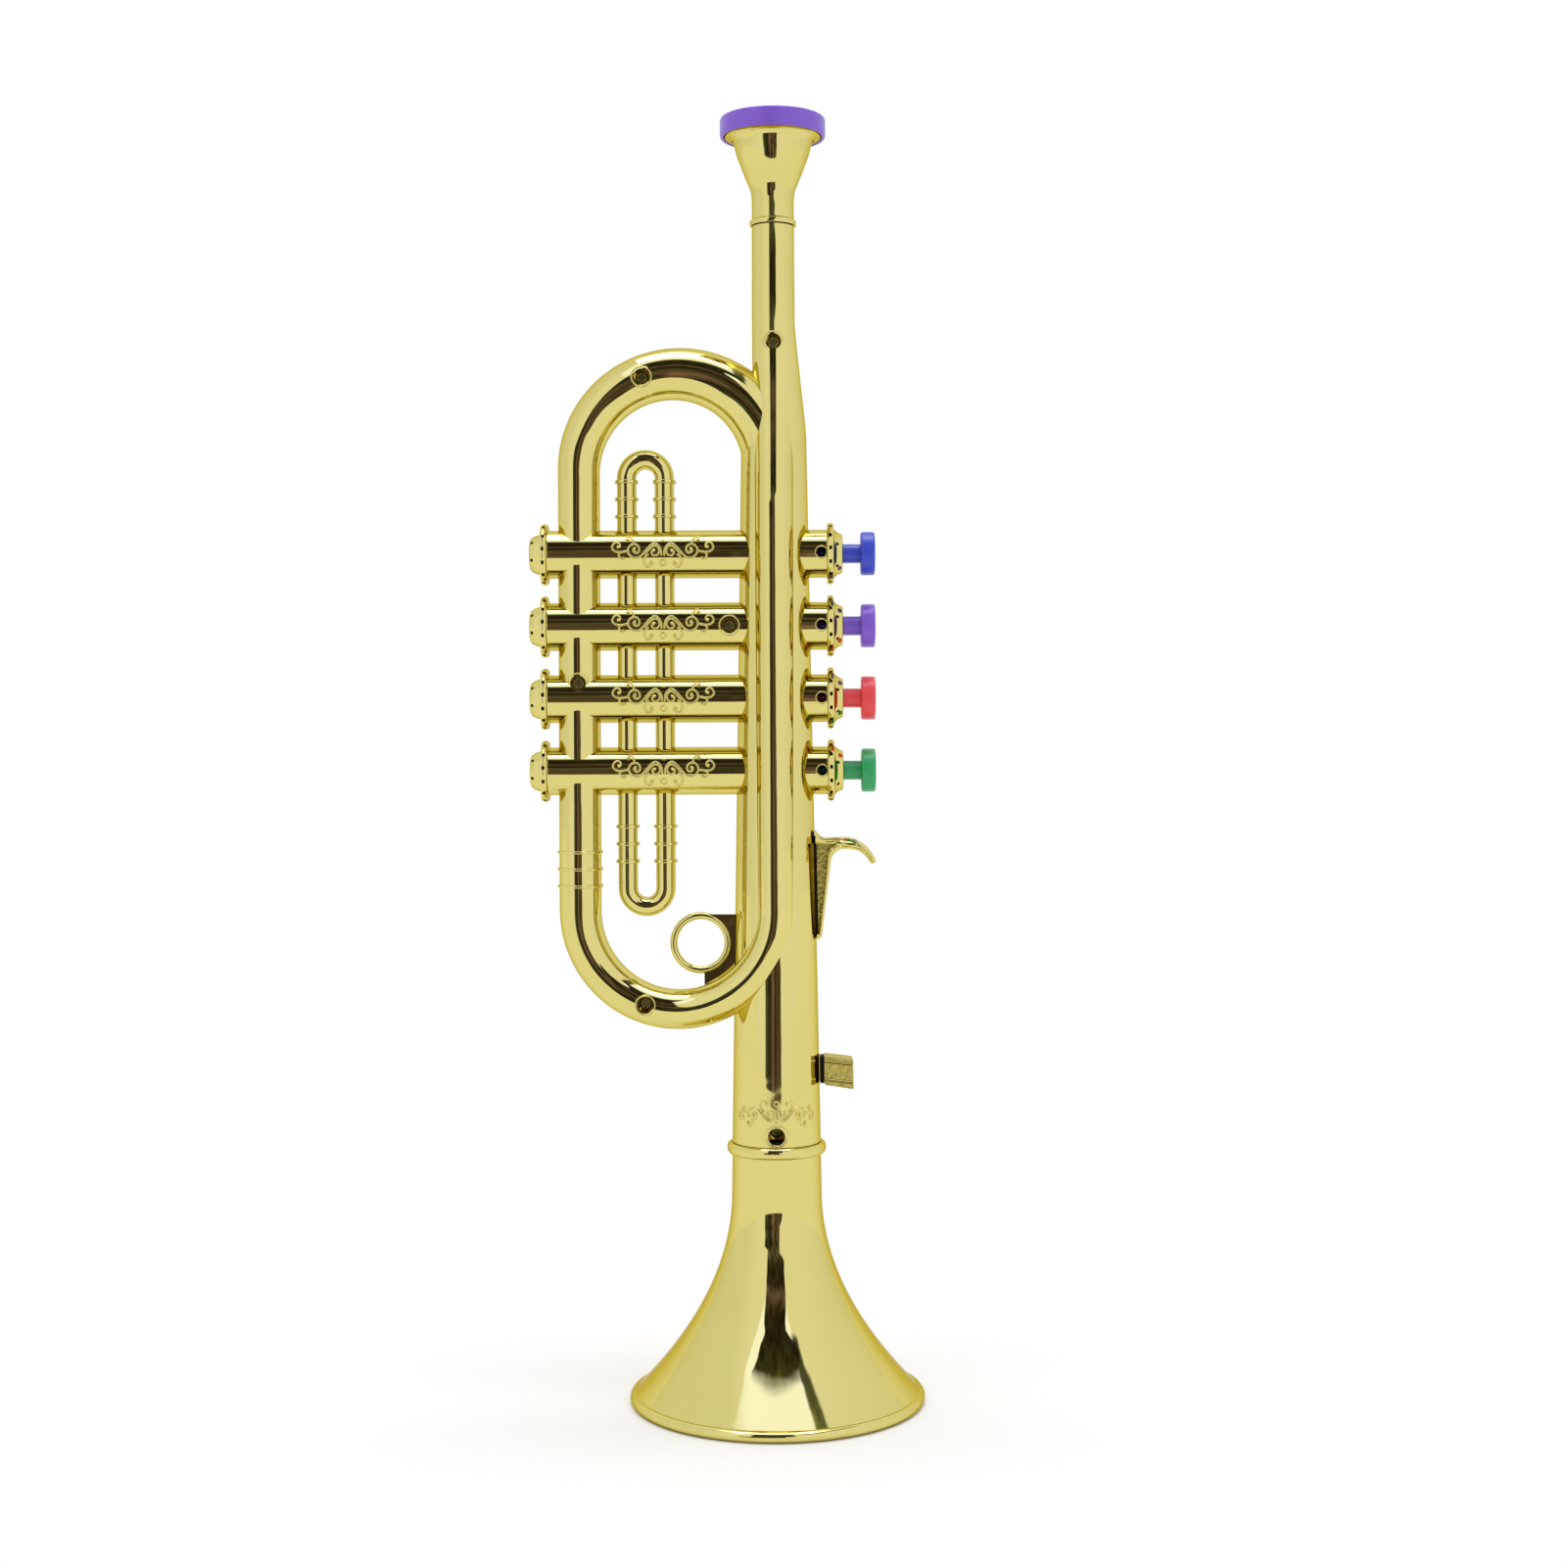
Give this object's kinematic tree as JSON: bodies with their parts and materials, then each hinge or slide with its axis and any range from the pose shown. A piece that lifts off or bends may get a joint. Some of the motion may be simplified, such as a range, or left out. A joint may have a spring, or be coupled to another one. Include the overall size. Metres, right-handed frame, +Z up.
{
  "type": "toy trumpet",
  "caption": "Toy trumpet with looped tubing, side push buttons that spring back, a round mouthpiece, a finger hook and ring, and a flared bell that it stands on.",
  "frame": {"origin": "middle of the bounding box's base, on the surface that the bell's rim stands on", "axes": "+Z up along the bell tube to the mouthpiece, +X towards the push buttons, -Y towards the front shell with the screw recesses and the lead pipe"},
  "size_m": [0.113, 0.085, 0.37],
  "materials": {
    "metallised_gold": "vacuum-metallised pale gold over moulded plastic",
    "purple_plastic": "glossy moulded plastic",
    "blue_plastic": "glossy moulded plastic",
    "red_plastic": "glossy moulded plastic",
    "green_plastic": "glossy moulded plastic",
    "white_plastic": "plain moulded plastic",
    "black_rubber": "soft matt rubber",
    "brass": "rolled brass strip",
    "zinc_plated_steel": "bright zinc plate"
  },
  "bodies": {
    "body": {"front_shell": "metallised_gold", "rear_shell": "metallised_gold", "bell": "metallised_gold", "mouthpiece": "metallised_gold", "mouthpiece_rim": "purple_plastic", "finger_hook": "metallised_gold", "finger_ring": "metallised_gold", "lyre_socket": "metallised_gold", "wind_box": "white_plastic", "reed_plate": "white_plastic", "wind_cover": "white_plastic", "wind_gasket": "black_rubber", "spring_1": "zinc_plated_steel", "spring_2": "zinc_plated_steel", "spring_3": "zinc_plated_steel", "spring_4": "zinc_plated_steel", "reed_1": "brass", "reed_2": "brass", "reed_3": "brass", "reed_4": "brass", "screw_1": "zinc_plated_steel", "screw_2": "zinc_plated_steel", "screw_3": "zinc_plated_steel", "screw_4": "zinc_plated_steel", "screw_5": "zinc_plated_steel", "screw_6": "zinc_plated_steel"},
    "valve_1": {"button_blue": "blue_plastic", "pad_1": "black_rubber"},
    "valve_2": {"button_purple": "purple_plastic", "pad_2": "black_rubber"},
    "valve_3": {"button_red": "red_plastic", "pad_3": "black_rubber"},
    "valve_4": {"button_green": "green_plastic", "pad_4": "black_rubber"}
  },
  "joints": [
    {"name": "valve_1_slide", "type": "slide", "parent": "body", "child": "valve_1", "axis": [-1, 0, 0], "range_m": [0, 0.004], "stiffness_N_per_m": 150, "springref_m": -0.004, "deforming": ["spring_1"]},
    {"name": "valve_2_slide", "type": "slide", "parent": "body", "child": "valve_2", "axis": [-1, 0, 0], "range_m": [0, 0.004], "stiffness_N_per_m": 150, "springref_m": -0.004, "deforming": ["spring_2"]},
    {"name": "valve_3_slide", "type": "slide", "parent": "body", "child": "valve_3", "axis": [-1, 0, 0], "range_m": [0, 0.004], "stiffness_N_per_m": 150, "springref_m": -0.004, "deforming": ["spring_3"]},
    {"name": "valve_4_slide", "type": "slide", "parent": "body", "child": "valve_4", "axis": [-1, 0, 0], "range_m": [0, 0.004], "stiffness_N_per_m": 150, "springref_m": -0.004, "deforming": ["spring_4"]}
  ]
}
